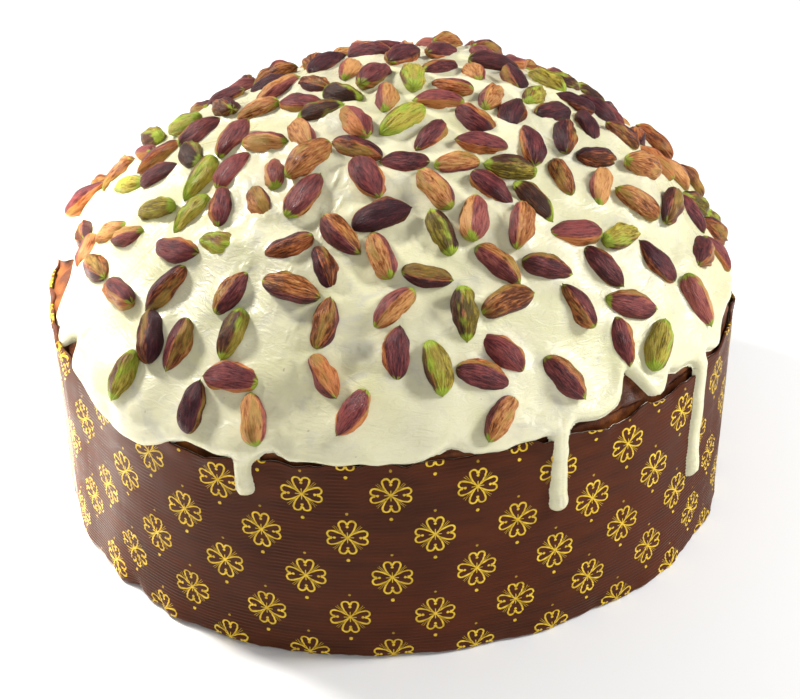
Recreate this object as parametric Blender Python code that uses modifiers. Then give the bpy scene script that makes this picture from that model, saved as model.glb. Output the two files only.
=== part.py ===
"""Pistachio panettone: a low round loaf in its paper case, iced on top and set with whole pistachio kernels.

Metres, +Z up. The origin is the middle of the case's flat base. Angle 0 faces -Y, and angles grow towards +X.
"""

import math
import random

import bmesh
import bpy
import numpy as np
from mathutils import Matrix

COLUMNS = 48
GAP = 0.0003
SMOOTH_UNDER = math.radians(50)

# The paper case: a straight wall on a flat base, pressed a little out of round.
CASE_RADIUS = 0.1105
CASE_HEIGHT = 0.0686
CASE_PAPER = 0.0010
CASE_FOOT_FOLD = 0.0012
ROUND_PROFILE = 0.5
OVAL_RISE = 0.0007
LOBE_RISE = 0.0011
LOBES = 4
OVAL_TURN = math.radians(26)
RIM_WAVE = 0.0004
RIM_WAVES = (7, 11)

# The dome, as the icing's outer skin. It leans to the right and a little to the back.
RIM_LEVEL = 0.0700
DOME_RISE = 0.0636
DOME_ROUNDNESS = 2 / 2.07
DOME_CROWN = 2 / 1.15
SKIRT_FLARE = 0.0007
LEAN_RIGHT = 0.0088
LEAN_BACK = 0.0046
SLOPE_STEP = 0.004

# The icing: thick on the crown, thin where it hangs over the rim.
ICING_THICKNESS = 0.0030
SKIRT_THICKNESS = 0.0012
SKIRT_TO_CASE = 0.0005
FULL_THICKNESS_RISE = 0.010
ICING_TO_CAKE = 0.0008
STRAIGHT_IN_REACH = 0.15
EDGE_ROLL = 0.020
SKIRT_DROP_RATE = 0.060
CROWN_REACH = 0.62
CROWN_ROWS = 6
SHOULDER_ROWS = 4
SKIRT_ROWS = 2

# The icing's lower edge: its usual height, then dips and bare places as angle, half width and rise.
EDGE_LEVEL = 0.0680
EDGE_FEATURES = (
    (-72, 14, 0.0120),
    (-41, 11, -0.0080),
    (-24, 6, -0.0012),
    (8, 3, 0.0035),
    (27, 5, 0.0030),
    (39, 4, 0.0045),
    (56, 22, 0.0052),
    (84, 12, 0.0070),
    (112, 12, -0.0050),
    (134, 8, 0.0045),
    (163, 13, -0.0040),
    (-171, 7, 0.0035),
    (-142, 14, -0.0055),
    (-112, 10, 0.0060),
    (-94, 12, -0.0015),
)

# Runs of icing down the wall: angle, height of the tip, width.
DRIPS = (
    (-20.8, 0.0550, 0.0046),
    (25.2, 0.0440, 0.0053),
    (54.5, 0.0310, 0.0056),
    (116.0, 0.0490, 0.0052),
    (166.0, 0.0560, 0.0046),
    (-146.0, 0.0400, 0.0055),
)
DRIP_THICKNESS = 0.0021
DRIP_TO_CASE = 0.0006
DRIP_ROOT = 0.0060
DRIP_SIDES = 7
DRIP_ROWS = 6
DRIP_ROOT_FLARE = 1.7
DRIP_TIP_SWELL = 1.25
DRIP_TIP_TAPER = 0.75
DRIP_BLUNT = 0.2
DRIP_EASE = 1.5

# The loaf: straight inside the case, then a dome under the icing.
CAKE_CORNER = 0.0030
CAKE_DOME_ROWS = 8
CAKE_FIRST_ROW = 0.6

# The pistachio kernels: one size with a spread, set a third deep, mostly pointing down the slope.
KERNEL_COUNT = 198
KERNEL_SEED = 11
KERNEL_LENGTH = 0.0157
KERNEL_WIDTH = 0.0086
KERNEL_HEIGHT = 0.0074
KERNEL_SINK = 0.0026
KERNEL_SIZE_SPREAD = 0.12
KERNEL_SIDES = 6
KERNEL_RINGS = 3
KERNEL_HEADING_SPREAD = 50
KERNEL_FREE_FALL = 30
KERNEL_TILT = 7
KERNEL_ROLL = 25
KERNEL_POINT = 0.22
KERNEL_FACET_SWELL = 1 / math.cos(math.pi / 6)

# How the kernels keep apart: places on their length, the girth there, and the room between two.
KERNEL_SPINE = (-0.0042, 0.0, 0.0042)
KERNEL_GIRTHS = (0.80, 1.0, 0.80)
KERNEL_ROOM = 0.0005
KERNEL_EDGE_ROOM = 0.0085
KERNEL_PUSHES = 90
KERNEL_PUSH = 0.35
KERNEL_JITTER = 0.10
GOLDEN_TURN = math.pi * (3 - math.sqrt(5))

# Kernels lie closest down to the first fall, and thin out to a share of that at the second.
# They also lie a little closer together at the front.
CLOSE_FALL = 30
THIN_FALL = 58
THIN_SHARE = 0.60
FRONT_CROWD = 0.14
FALL_STEPS = 400

# The greenest kernels stand out, so they have their own places: angle, fall from the crown, heading.
GREEN_KERNELS = (
    (-77.0, 36.5, 100),
    (-65.0, 11.8, 115),
    (105.0, 22.8, -60),
    (6.1, 60.8, 14),
    (7.6, 37.0, 18),
    (-43.9, 76.0, 8),
    (-28.7, 57.0, 4),
    (87.0, 57.0, 35),
    (168.0, 40.0, 70),
    (-150.0, 58.0, -20),
    (140.0, 66.0, 15),
)
KIND_SHARES = (("kernel_maroon", 0.47), ("kernel_tan", 0.86), ("kernel_green", 1.0))

# Finishes: colour, roughness.
FINISHES = {
    "brown_paper": ((0.105, 0.036, 0.020), 0.55),
    "baked_crust": ((0.230, 0.085, 0.025), 0.75),
    "ivory_icing": ((0.860, 0.850, 0.640), 0.35),
    "kernel_maroon": ((0.105, 0.028, 0.030), 0.50),
    "kernel_tan": ((0.270, 0.125, 0.060), 0.55),
    "kernel_green": ((0.230, 0.330, 0.030), 0.50),
}


def clear_scene():
    for thing in list(bpy.data.objects):
        bpy.data.objects.remove(thing, do_unlink=True)


def make_material(name):
    colour, roughness = FINISHES[name]
    material = bpy.data.materials.new(name)
    material.use_nodes = True
    shader = material.node_tree.nodes["Principled BSDF"]
    shader.inputs["Base Color"].default_value = (*colour, 1.0)
    shader.inputs["Roughness"].default_value = roughness
    return material


def make_collection(name):
    collection = bpy.data.collections.new(name)
    bpy.context.scene.collection.children.link(collection)
    return collection


def column_angles():
    return [math.tau * index / COLUMNS for index in range(COLUMNS)]


def smooth_step(value):
    value = np.clip(value, 0.0, 1.0)
    return value * value * (3 - 2 * value)


def angle_apart(first, second):
    """The signed difference of two angles in degrees, between -180 and 180."""
    return (first - second + 180) % 360 - 180


def around(angle, radius, height):
    """A point, or many, at this angle and radius about the middle."""
    return np.stack(np.broadcast_arrays(radius * np.sin(angle), -radius * np.cos(angle), height), axis=-1)


def unit(vectors):
    return vectors / np.linalg.norm(vectors, axis=-1, keepdims=True)


def case_radius(angle):
    turned = angle + OVAL_TURN
    return CASE_RADIUS + OVAL_RISE * np.cos(2 * turned) + LOBE_RISE * np.cos(LOBES * turned)


def rim_height(angle):
    return CASE_HEIGHT - RIM_WAVE * (2 - sum(np.sin(waves * angle) for waves in RIM_WAVES))


def icing_thickness(height):
    grown = smooth_step((height - RIM_LEVEL) / FULL_THICKNESS_RISE)
    return SKIRT_THICKNESS + (ICING_THICKNESS - SKIRT_THICKNESS) * grown


def dome_point(angle, fall):
    """A point of the icing's outer skin, with fall 0 at the crown and a right angle at the rim."""
    rise = np.maximum(np.cos(fall), 0.0) ** DOME_CROWN
    skin = case_radius(angle) + SKIRT_TO_CASE + SKIRT_THICKNESS - SKIRT_FLARE
    flare = SKIRT_FLARE * (1 - smooth_step(DOME_RISE * rise / FULL_THICKNESS_RISE))
    point = around(angle, (skin + flare) * np.sin(fall) ** DOME_ROUNDNESS, RIM_LEVEL + DOME_RISE * rise)
    return point + np.multiply.outer(rise, (LEAN_RIGHT, LEAN_BACK, 0))


def dome_axes(angle, fall):
    """Unit vectors at a point of the dome: down the slope, across it, and out of the skin."""
    lower = np.minimum(fall + SLOPE_STEP, math.pi / 2)
    down = dome_point(angle, lower) - dome_point(angle, fall - SLOPE_STEP)
    across = dome_point(angle + SLOPE_STEP, fall) - dome_point(angle - SLOPE_STEP, fall)
    out = unit(np.cross(down, across))
    down = unit(down)
    return down, np.cross(out, down), out


def under_dome(angle, fall, depth):
    """A point this far under the icing's outer skin: straight in where the skin nears the rim."""
    if fall < SLOPE_STEP:
        return dome_point(angle, 0) - (0, 0, depth)
    out = dome_axes(angle, fall)[2]
    out[2] *= 1 - smooth_step(1 - (1 - fall / (math.pi / 2)) / STRAIGHT_IN_REACH)
    return dome_point(angle, fall) - out * depth


def edge_height(angle):
    degrees = np.degrees(angle)
    rises = (
        rise * np.exp(-((angle_apart(degrees, middle) / half_width) ** 2))
        for middle, half_width, rise in EDGE_FEATURES
    )
    return EDGE_LEVEL + sum(rises)


def edge_reach(angle):
    """How far the icing reaches from the crown: 1 at the rim, more where it hangs over the case."""
    height = edge_height(angle)
    if height < RIM_LEVEL:
        return 1 + (RIM_LEVEL - height) / SKIRT_DROP_RATE
    rise = (height - RIM_LEVEL) / DOME_RISE
    return math.acos(rise ** (1 / DOME_CROWN)) / (math.pi / 2)


def icing_point(angle, reach, inner):
    """A point of the icing's outer or inner face, at this reach from the crown."""
    if reach > 1:
        radius = case_radius(angle) + SKIRT_TO_CASE + (0 if inner else SKIRT_THICKNESS)
        return around(angle, radius, RIM_LEVEL - (reach - 1) * SKIRT_DROP_RATE)
    fall = reach * math.pi / 2
    if not inner:
        return dome_point(angle, fall)
    return under_dome(angle, fall, icing_thickness(dome_point(angle, fall)[2]))


def icing_reaches(angle):
    """Where the icing's rows lie down one column: level round the crown, then drawn to its rolled edge."""
    edge = edge_reach(angle)
    shoulder = min(1.0, edge - EDGE_ROLL)
    stretches = (
        (0, CROWN_REACH, CROWN_ROWS),
        (CROWN_REACH, shoulder, SHOULDER_ROWS),
        (shoulder, edge, SKIRT_ROWS),
    )
    reaches = []
    for first, last, count in stretches:
        reaches += [first + (last - first) * row / count for row in range(1, count + 1)]
    return reaches


def loft(name, rings, first_pole, last_pole, material, collection):
    """A closed body through rings with the same number of points, with a point at each end."""
    shape = bmesh.new()
    rows = [[shape.verts.new(point) for point in ring] for ring in rings]
    start = shape.verts.new(first_pole)
    end = shape.verts.new(last_pole)
    count = len(rows[0])
    for index in range(count):
        after = (index + 1) % count
        shape.faces.new((start, rows[0][index], rows[0][after]))
        shape.faces.new((end, rows[-1][after], rows[-1][index]))
        for upper, lower in zip(rows, rows[1:]):
            shape.faces.new((upper[index], lower[index], lower[after], upper[after]))
    bmesh.ops.recalc_face_normals(shape, faces=shape.faces)
    return add_object(name, shape, material, collection)


def add_object(name, shape, material, collection):
    mesh = bpy.data.meshes.new(name)
    shape.to_mesh(mesh)
    shape.free()
    mesh.materials.append(material)
    thing = bpy.data.objects.new(name, mesh)
    collection.objects.link(thing)
    return thing


def shade(thing):
    thing.data.shade_smooth()
    thing.data.set_sharp_from_angle(angle=SMOOTH_UNDER)


def make_case(collection, material):
    """An open cup: a cylinder without its lid, pushed out of round, then given the paper's thickness."""
    shape = bmesh.new()
    bmesh.ops.create_cone(
        shape, cap_ends=True, segments=COLUMNS, radius1=CASE_RADIUS, radius2=CASE_RADIUS, depth=CASE_HEIGHT
    )
    lid = [face for face in shape.faces if face.normal.z > 0.5]
    bmesh.ops.delete(shape, geom=lid, context="FACES_ONLY")
    for vert in shape.verts:
        angle = math.atan2(vert.co.x, -vert.co.y)
        height = rim_height(angle) if vert.co.z > 0 else 0.0
        vert.co = around(angle, case_radius(angle), height)
    foot = [edge for edge in shape.edges if all(vert.co.z == 0 for vert in edge.verts)]
    bmesh.ops.bevel(
        shape, geom=foot, offset=CASE_FOOT_FOLD, segments=2, profile=ROUND_PROFILE, affect="EDGES"
    )
    case = add_object("paper_case", shape, material, collection)
    paper = case.modifiers.new("paper", "SOLIDIFY")
    paper.thickness = CASE_PAPER
    paper.offset = -1
    paper.use_even_offset = True
    shade(case)


def cake_wall_radius(angle):
    return case_radius(angle) - CASE_PAPER - GAP


def cake_dome_ring(fall):
    """A ring of the loaf's dome, kept inside the case's wall."""
    ring = []
    for angle in column_angles():
        depth = icing_thickness(dome_point(angle, fall)[2]) + ICING_TO_CAKE
        point = under_dome(angle, fall, depth)
        radius = math.hypot(point[0], point[1])
        if fall > math.pi / 4 and radius > cake_wall_radius(angle):
            point = around(angle, cake_wall_radius(angle), point[2])
        ring.append(point)
    return ring


def make_cake(collection, material):
    """The loaf, from the middle of its base up its wall and over its dome."""
    base = CASE_PAPER + GAP
    angles = column_angles()
    rings = [
        [around(angle, cake_wall_radius(angle) - CAKE_CORNER, base) for angle in angles],
        [around(angle, cake_wall_radius(angle), base + CAKE_CORNER) for angle in angles],
        [around(angle, cake_wall_radius(angle), RIM_LEVEL - GAP) for angle in angles],
    ]
    for row in range(CAKE_DOME_ROWS, 0, -1):
        rings.append(cake_dome_ring(math.pi / 2 * (row - 1 + CAKE_FIRST_ROW) / CAKE_DOME_ROWS))
    crown = under_dome(0, 0, ICING_THICKNESS + ICING_TO_CAKE)
    cake = loft("cake", rings, (0, 0, base), crown, material, collection)
    shade(cake)


def make_icing(collection, material):
    """The icing's skin: down its outer face from the crown, round its edge, and back up its inner face."""
    columns = [(angle, icing_reaches(angle)) for angle in column_angles()]
    rows = range(CROWN_ROWS + SHOULDER_ROWS + SKIRT_ROWS)
    outer = [[icing_point(angle, reaches[row], False) for angle, reaches in columns] for row in rows]
    inner = [[icing_point(angle, reaches[row], True) for angle, reaches in columns] for row in rows]
    crown = dome_point(0, 0)
    under_crown = under_dome(0, 0, ICING_THICKNESS)
    return loft("icing", outer + inner[::-1], crown, under_crown, material, collection)


def drip_section(angle, height, width):
    """One level section of a run of icing: an ellipse that lies on the skin above the rim, or on the case."""
    if height > RIM_LEVEL:
        fall = math.acos(((height - RIM_LEVEL) / DOME_RISE) ** (1 / DOME_CROWN))
        skin = dome_point(angle, fall)
        middle = math.hypot(skin[0], skin[1]) + DRIP_THICKNESS / 2 - SKIRT_THICKNESS / 2
    else:
        middle = case_radius(angle) + DRIP_TO_CASE + DRIP_THICKNESS / 2
    ring = []
    for side in range(DRIP_SIDES):
        turn = math.tau * (side + 0.5) / DRIP_SIDES
        swing = width / 2 * math.cos(turn) / middle
        ring.append(around(angle + swing, middle + DRIP_THICKNESS / 2 * math.sin(turn), height))
    return ring


def drip_heights(angle, tip, blunt):
    """The heights of a run's sections: its root, the rim where it crosses that, then down the wall."""
    root = edge_height(angle) + DRIP_ROOT
    over_rim = [root, RIM_LEVEL] if root > RIM_LEVEL else [root]
    start = over_rim.pop()
    count = DRIP_ROWS - len(over_rim)
    shares = [row / (count - 1) for row in range(count)]
    return over_rim + [start + (tip + blunt - start) * (1 - (1 - share) ** DRIP_EASE) for share in shares]


def make_drip(index, collection, material):
    """A run of icing from above the edge to its rounded, swollen tip."""
    degrees, tip, width = DRIPS[index]
    angle = math.radians(degrees)
    heights = drip_heights(angle, tip, width * DRIP_BLUNT)
    widths = [width] * DRIP_ROWS
    widths[0] *= DRIP_ROOT_FLARE
    widths[-2] *= DRIP_TIP_SWELL
    widths[-1] *= DRIP_TIP_TAPER
    rings = [drip_section(angle, height, wide) for height, wide in zip(heights, widths)]
    first = np.mean(rings[0], axis=0)
    last = np.mean(rings[-1], axis=0)
    last[2] = tip
    loft(f"drip_{index + 1}", rings, first, last, material, collection)


def spread_falls(count):
    """Falls that share the dome's skin evenly between kernels, closer together near the crown."""
    falls = np.linspace(0, math.pi / 2, FALL_STEPS)
    profile = dome_point(0.0 * falls, falls) - dome_point(0.0, 0.0)
    steps = np.linalg.norm(np.diff(profile, axis=0), axis=1)
    thinned = smooth_step((np.degrees(falls[1:]) - CLOSE_FALL) / (THIN_FALL - CLOSE_FALL))
    weights = np.sin(falls[1:]) ** DOME_ROUNDNESS * steps * (1 - (1 - THIN_SHARE) * thinned)
    weights *= dome_point(0.0 * falls[1:], falls[1:])[:, 2] > EDGE_LEVEL + KERNEL_EDGE_ROOM
    shares = np.concatenate(([0.0], np.cumsum(weights) / np.sum(weights)))
    return np.interp((np.arange(count) + 0.5) / count, shares, falls)


def draw_kernels(draw):
    """The greenest kernels in their own places, then the rest along a sunflower's spiral."""
    kernels = []
    for degrees, fall, heading in GREEN_KERNELS:
        place = {"angle": math.radians(degrees), "fall": math.radians(fall), "heading": math.radians(heading)}
        kernels.append({**place, "tilt": 0.0, "roll": 0.0, "size": 1.0, "kind": "kernel_green"})
    for number, fall in enumerate(spread_falls(KERNEL_COUNT - len(kernels))):
        angle = number * GOLDEN_TURN + draw.uniform(-KERNEL_JITTER, KERNEL_JITTER)
        angle -= FRONT_CROWD * math.sin(angle)
        free = math.degrees(fall) < KERNEL_FREE_FALL
        heading = draw.uniform(-90, 90) if free else draw.gauss(0, KERNEL_HEADING_SPREAD)
        kind = draw.random()
        kernels.append({
            "angle": angle,
            "fall": fall,
            "heading": math.radians(heading),
            "tilt": math.radians(draw.uniform(-KERNEL_TILT, KERNEL_TILT)),
            "roll": math.radians(draw.uniform(-KERNEL_ROLL, KERNEL_ROLL)),
            "size": 1 + draw.uniform(-KERNEL_SIZE_SPREAD, KERNEL_SIZE_SPREAD),
            "kind": next(name for name, share in KIND_SHARES if kind <= share),
        })
    return kernels


def kernel_pushes(angle, fall, heading, size):
    """Which way and how far each kernel's neighbours push it, from how far their spines are too close."""
    down, across, _ = dome_axes(angle, fall)
    along = down * np.cos(heading)[:, None] + across * np.sin(heading)[:, None]
    spines = dome_point(angle, fall)[:, None] + along[:, None] * np.array(KERNEL_SPINE)[:, None]
    girths = size[:, None] * np.array(KERNEL_GIRTHS) * KERNEL_WIDTH / 2
    away = spines[:, None, :, None] - spines[None, :, None, :]
    apart = np.linalg.norm(away, axis=-1)
    room = girths[:, None, :, None] + girths[None, :, None, :] + KERNEL_ROOM
    overlap = np.maximum(room - apart, 0.0)
    np.einsum("iijk->ijk", overlap)[:] = 0.0
    return (away * (overlap / np.maximum(apart, KERNEL_ROOM))[..., None]).sum(axis=(1, 2, 3))


def most_fall(angle):
    """How far down the dome a kernel may lie, which keeps it off the icing's edge."""
    height = np.maximum(edge_height(angle), EDGE_LEVEL) + KERNEL_EDGE_ROOM
    return np.arccos(((height - RIM_LEVEL) / DOME_RISE) ** (1 / DOME_CROWN))


def scatter_kernels():
    """Every kernel's place, once those too close have pushed each other apart. The greenest stay put."""
    kernels = draw_kernels(random.Random(KERNEL_SEED))
    angle, fall, heading, size = (
        np.array([kernel[key] for kernel in kernels]) for key in ("angle", "fall", "heading", "size")
    )
    for _ in range(KERNEL_PUSHES):
        push = kernel_pushes(angle, fall, heading, size)
        push[:len(GREEN_KERNELS)] = 0.0
        spot = around(angle, case_radius(angle) * np.sin(fall) ** DOME_ROUNDNESS, 0.0) + push * KERNEL_PUSH
        angle = np.arctan2(spot[:, 0], -spot[:, 1])
        reach = np.minimum(np.hypot(spot[:, 0], spot[:, 1]) / case_radius(angle), 1.0)
        fall = np.clip(np.arcsin(reach ** (1 / DOME_ROUNDNESS)), 2 * SLOPE_STEP, most_fall(angle))
    for index, kernel in enumerate(kernels):
        kernel["angle"], kernel["fall"] = float(angle[index]), float(fall[index])
    return kernels


def kernel_mesh(material):
    """A plump spindle along X, blunt at one end and pointed at the other."""
    shape = bmesh.new()
    turned = Matrix.Rotation(math.pi / 2, 4, "Y")
    bmesh.ops.create_uvsphere(
        shape, u_segments=KERNEL_SIDES, v_segments=KERNEL_RINGS, radius=0.5, matrix=turned
    )
    for vert in shape.verts:
        girth = KERNEL_FACET_SWELL * (1 - KERNEL_POINT * (vert.co.x + 0.5))
        x, y, z = vert.co
        vert.co = (x * KERNEL_LENGTH, y * KERNEL_WIDTH * girth, z * KERNEL_HEIGHT * girth)
    mesh = bpy.data.meshes.new(material.name)
    shape.to_mesh(mesh)
    shape.free()
    mesh.materials.append(material)
    return mesh


def kernel_matrix(kernel):
    """Where a kernel lies: on the skin, sunk into it, turned to its heading."""
    down, across, out = dome_axes(kernel["angle"], kernel["fall"])
    point = dome_point(kernel["angle"], kernel["fall"])
    sink = min(KERNEL_SINK, float(icing_thickness(point[2])) - GAP)
    lift = KERNEL_HEIGHT * kernel["size"] / 2 - sink
    seat = Matrix.Translation(point + out * lift)
    facing = Matrix((down, np.cross(out, down), out)).transposed().to_4x4()
    turn = Matrix.Rotation(kernel["heading"], 4, "Z") @ Matrix.Rotation(kernel["tilt"], 4, "Y")
    return seat @ facing @ turn @ Matrix.Rotation(kernel["roll"], 4, "X") @ Matrix.Scale(kernel["size"], 4)


def make_kernels(collection, materials):
    meshes = {name: kernel_mesh(materials[name]) for name, _ in KIND_SHARES}
    for number, kernel in enumerate(scatter_kernels(), 1):
        thing = bpy.data.objects.new(f"kernel_{number:03d}", meshes[kernel["kind"]])
        thing.matrix_world = kernel_matrix(kernel)
        collection.objects.link(thing)


def fuse(thing, collection):
    """Joins everything in the collection to one object, and removes the collection's objects."""
    union = thing.modifiers.new("toppings", "BOOLEAN")
    union.operation = "UNION"
    union.operand_type = "COLLECTION"
    union.collection = collection
    union.solver = "EXACT"
    union.material_mode = "TRANSFER"
    bpy.context.view_layer.update()
    graph = bpy.context.evaluated_depsgraph_get()
    joined = bpy.data.meshes.new_from_object(thing.evaluated_get(graph))
    thing.modifiers.remove(union)
    thing.data = joined
    for loose in list(collection.objects):
        bpy.data.objects.remove(loose, do_unlink=True)
    bpy.data.collections.remove(collection)


def main():
    clear_scene()
    materials = {name: make_material(name) for name in FINISHES}
    panettone = make_collection("pistachio_panettone")
    toppings = make_collection("toppings")
    make_case(panettone, materials["brown_paper"])
    make_cake(panettone, materials["baked_crust"])
    icing = make_icing(panettone, materials["ivory_icing"])
    for index in range(len(DRIPS)):
        make_drip(index, toppings, materials["ivory_icing"])
    make_kernels(toppings, materials)
    fuse(icing, toppings)
    shade(icing)


main()
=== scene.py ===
"""The looks of the pistachio panettone: printed paper case, crust, icing with its drips, and kernels.

Metres, +Z up. Angle 0 faces the camera (-Y), and angles grow towards +X. "Drop" is a length down the icing's
skin from the rim: below zero on the dome, above zero on the case's wall.
"""

import math
import random

import bpy
import numpy as np
from mathutils import Matrix, Vector, noise


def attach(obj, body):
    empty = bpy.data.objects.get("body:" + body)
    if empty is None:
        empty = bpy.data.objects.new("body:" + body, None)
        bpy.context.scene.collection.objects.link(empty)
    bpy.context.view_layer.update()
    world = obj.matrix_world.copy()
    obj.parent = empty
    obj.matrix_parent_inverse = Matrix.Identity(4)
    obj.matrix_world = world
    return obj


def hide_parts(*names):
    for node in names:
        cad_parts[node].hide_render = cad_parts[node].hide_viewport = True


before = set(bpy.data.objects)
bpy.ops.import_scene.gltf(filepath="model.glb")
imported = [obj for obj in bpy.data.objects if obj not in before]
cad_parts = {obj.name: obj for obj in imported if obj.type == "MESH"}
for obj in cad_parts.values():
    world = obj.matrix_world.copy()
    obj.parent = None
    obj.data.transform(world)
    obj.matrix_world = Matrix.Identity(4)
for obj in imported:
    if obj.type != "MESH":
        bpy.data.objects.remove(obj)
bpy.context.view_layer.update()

scene = bpy.context.scene

# The form, as the solids have it.
CASE_RADIUS = 0.1105
CASE_HEIGHT = 0.0686
CASE_PAPER = 0.0010
OVAL_RISE = 0.0007
LOBE_RISE = 0.0011
LOBES = 4
OVAL_TURN = math.radians(26)
RIM_WAVE = 0.0004
RIM_WAVES = (7, 11)
RIM_LEVEL = 0.0700
DOME_RISE = 0.0636
DOME_ROUNDNESS = 2 / 2.07
DOME_CROWN = 2 / 1.15
SKIRT_FLARE = 0.0007
LEAN_RIGHT = 0.0088
LEAN_BACK = 0.0046
SLOPE_STEP = 0.004
ICING_THICKNESS = 0.0030
SKIRT_THICKNESS = 0.0012
SKIRT_TO_CASE = 0.0005
FULL_THICKNESS_RISE = 0.010
GAP = 0.0003
EDGE_LEVEL = 0.0680
EDGE_FEATURES = (
    (-72, 14, 0.0120), (-41, 11, -0.0080), (-24, 6, -0.0012), (8, 3, 0.0035), (27, 5, 0.0030),
    (39, 4, 0.0045), (56, 22, 0.0052), (84, 12, 0.0070), (112, 12, -0.0050), (134, 8, 0.0045),
    (163, 13, -0.0040), (-171, 7, 0.0035), (-142, 14, -0.0055), (-112, 10, 0.0060),
    (-94, 12, -0.0015),
)

# Runs of icing: angle, height of the tip, width. The last two, small ones, are only here.
DRIPS = (
    (-20.8, 0.0550, 0.0046), (25.2, 0.0440, 0.0053), (54.5, 0.0310, 0.0056),
    (116.0, 0.0490, 0.0052), (166.0, 0.0560, 0.0046), (-146.0, 0.0400, 0.0055),
    (-66.6, 0.0785, 0.0040), (-58.9, 0.0760, 0.0040),
)

# Kernels: the same rule, seed and order of draws as the solids.
KERNEL_COUNT = 198
KERNEL_SEED = 11
KERNEL_LENGTH = 0.0157
KERNEL_WIDTH = 0.0086
KERNEL_HEIGHT = 0.0074
KERNEL_SINK = 0.0026
KERNEL_SIZE_SPREAD = 0.12
KERNEL_HEADING_SPREAD = 50
KERNEL_FREE_FALL = 30
KERNEL_TILT = 7
KERNEL_ROLL = 25
KERNEL_SPINE = (-0.0042, 0.0, 0.0042)
KERNEL_GIRTHS = (0.80, 1.0, 0.80)
KERNEL_ROOM = 0.0005
KERNEL_EDGE_ROOM = 0.0085
KERNEL_PUSHES = 90
KERNEL_PUSH = 0.35
KERNEL_JITTER = 0.10
GOLDEN_TURN = math.pi * (3 - math.sqrt(5))
CLOSE_FALL = 30
THIN_FALL = 58
THIN_SHARE = 0.60
FRONT_CROWD = 0.14
FALL_STEPS = 400
GREEN_KERNELS = (
    (-77.0, 36.5, 100), (-65.0, 11.8, 115), (105.0, 22.8, -60), (6.1, 60.8, 14), (7.6, 37.0, 18),
    (-43.9, 76.0, 8), (-28.7, 57.0, 4), (87.0, 57.0, 35), (168.0, 40.0, 70), (-150.0, 58.0, -20),
    (140.0, 66.0, 15),
)
KIND_SHARES = (("kernel_maroon", 0.47), ("kernel_tan", 0.86), ("kernel_green", 1.0))

# Finer detail of the icing's edge: angle, half width, rise.
EDGE_DETAILS = (
    (-86, 10, 0.0080), (-68, 7, -0.0085), (-67, 2.2, 0.0030), (-60.5, 2.4, 0.0040),
    (-30, 4, 0.0026), (-16.5, 1.8, 0.0032), (8.5, 2.2, 0.0012), (20, 3, 0.0012),
    (33.5, 2.5, 0.0006), (38.6, 1.8, 0.0034), (42.7, 2.2, -0.0030), (46.6, 1.5, 0.0024),
    (60, 3, -0.0022), (68, 4, 0.0010),
)
EDGE_RAG = 0.0006
EDGE_RAG_CELL = 0.006

# The icing's mesh and its beaded edge.
PROFILE_STEPS = 600
ANGLE_STEPS = 7201
ICING_COLUMNS = 640
DENSE_COLUMNS = 4.2
DENSE_HALF_WIDTH = 3.2
DOME_ROWS = 84
DOME_ROWS_END = -0.010
EDGE_ROWS = 22
EDGE_OUTSIDE = 0.0009
EDGE_EASE = 1.6
EDGE_STEP = math.radians(0.25)
ROW_BEND_START, ROW_BEND_SPAN = 0.55, 0.45
WIDEST_SKIP, WIDE_RING = 16, 0.064
DRIP_ROW = 0.00045
ZONE_HALF_WIDTH = 4.4
BEAD_ROLL = 0.0026
BEAD_SWELL = 0.0005
TIP_SWELL = 0.0007
DRIP_FILLET = 0.0034
DRIP_WOBBLE = 0.0003
DRIP_WOBBLE_CELL = 0.006
DRIP_NARROW_CELL = 0.004
DRIP_NECK = 0.92
DRIP_BULB = 0.2
DRIP_TIP_WIDTHS = 2.2
DRIP_BELOW_TIP = 0.0016
UNDER_SKIN = 0.0004
CUT_OUTSIDE = -0.0006
OUTSIDE_SLOPE, OUTSIDE_SINK = 0.8, 0.00035

# The icing's relief: low waves and lumps (cell, rise, seed), then spatula marks in patches.
WAVE_CELL = 0.036
WAVES_AND_LUMPS = ((WAVE_CELL, 0.0028, 11), (0.014, 0.0026, 12))
MARK_CELL, MARK_RISE = 0.0100, 0.0008
MARK_WARP = 1.6
MARK_STRETCH = (1, 1, 1.8)
MARK_SHARPNESS = 5
MARK_PATCHES, PATCH_CONTRAST = 0.35, 2.2
RELIEF_LEVEL = 0.0004
RELIEF_DEPTH_SHARE = 0.45
RELIEF_SOFTNESS = 0.0003
RELIEF_FADE = 0.007
EDGE_RELIEF_SHARE = 0.35
HUG_RISE = 0.0009
HUG_REACH = 0.0016
HUG_SPINE, HUG_GIRTH = 0.24, 0.42

# Crust and case. Creases, tears and folds are angle, half width and rise. Noise is cell, rise and seed.
CRUST_COLUMNS = 360
CRUST_ROWS = 60
CRUST_BARE_ROWS = 42
CRUST_BARE_DROPS = (0.012, -0.030)
CRUST_UNDER = 0.0002
CRUST_UNDER_CROWN = 0.0036
CRUST_RECESS = 0.0012
CRUST_RECESS_RUN = 0.003
CRUST_CRAGS = ((0.0045, 0.0007, 31), (0.0018, 0.0004, 32))
CRUST_CRAG_LEVEL = 0.0003
CRUST_CORNER = 0.003
CRUST_TUCK = 0.0003
CRUST_WALL_LEVEL = 0.050
CRUST_OVER_RIM = 0.002
CASE_COLUMNS = 320
RIB_PITCH = 0.00118
RIB_DEPTH = 0.00011
LEFT_RIBS = 0.25
LEFT_RIBS_START, LEFT_RIBS_RUN = -36, 24
ROWS_PER_RIB = 4
CASE_INNER_ROWS = (1.0, 0.96, 0.9, 0.7, 0.4, 0.1)
CASE_THIN = CASE_PAPER * 0.75
INNER_BULGE = 0.0006
INNER_CORNER = 0.0015
WALL_WAVES = ((0.028, 0.0007, 43),)
WALL_DIMPLES = ((0.009, 0.00022, 44),)
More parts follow.
